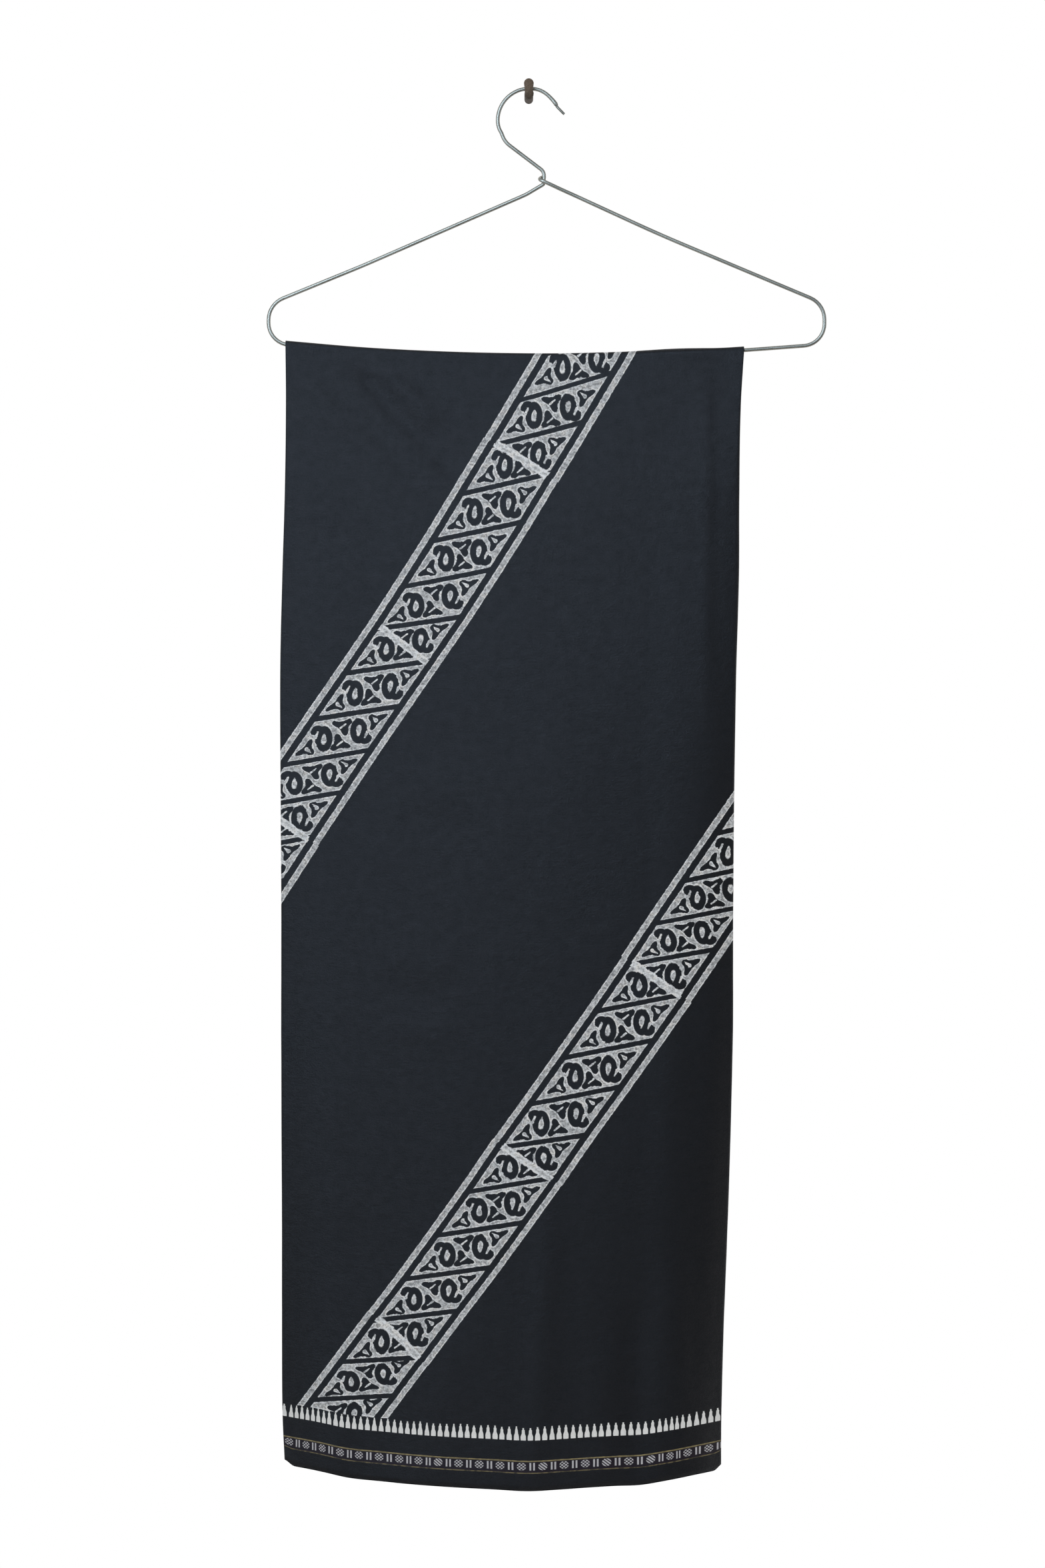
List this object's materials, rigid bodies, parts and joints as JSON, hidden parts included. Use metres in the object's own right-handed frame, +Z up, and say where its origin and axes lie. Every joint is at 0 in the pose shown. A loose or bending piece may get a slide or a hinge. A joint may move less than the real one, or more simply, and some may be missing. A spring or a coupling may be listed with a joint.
{
  "type": "veshti on a wire hanger and wall peg",
  "caption": "Folded black cotton veshti with printed diagonal bands and a woven border, hung over the bar of a wire hanger on an upturned wall peg.",
  "frame": {"origin": "centre of the peg's flat rear face, in the plane of the wall", "axes": "+Z up, +Y into the wall, +X to the right of a viewer who faces the cloth"},
  "size_m": [0.4069, 0.0448, 1.0176],
  "materials": {
    "printed_cotton": "blue-black plain-weave cotton, silver block print and woven border",
    "plain_cotton": "blue-black plain-weave cotton",
    "steel_wire": "bare galvanised wire, slightly dull",
    "brown_iron": "old brown paint, matt"
  },
  "bodies": {
    "root": {"outer_layer": "printed_cotton", "inner_layers": "plain_cotton", "rear_layer": "printed_cotton", "hanger_wire": "steel_wire", "wall_peg": "brown_iron"}
  },
  "joints": []
}
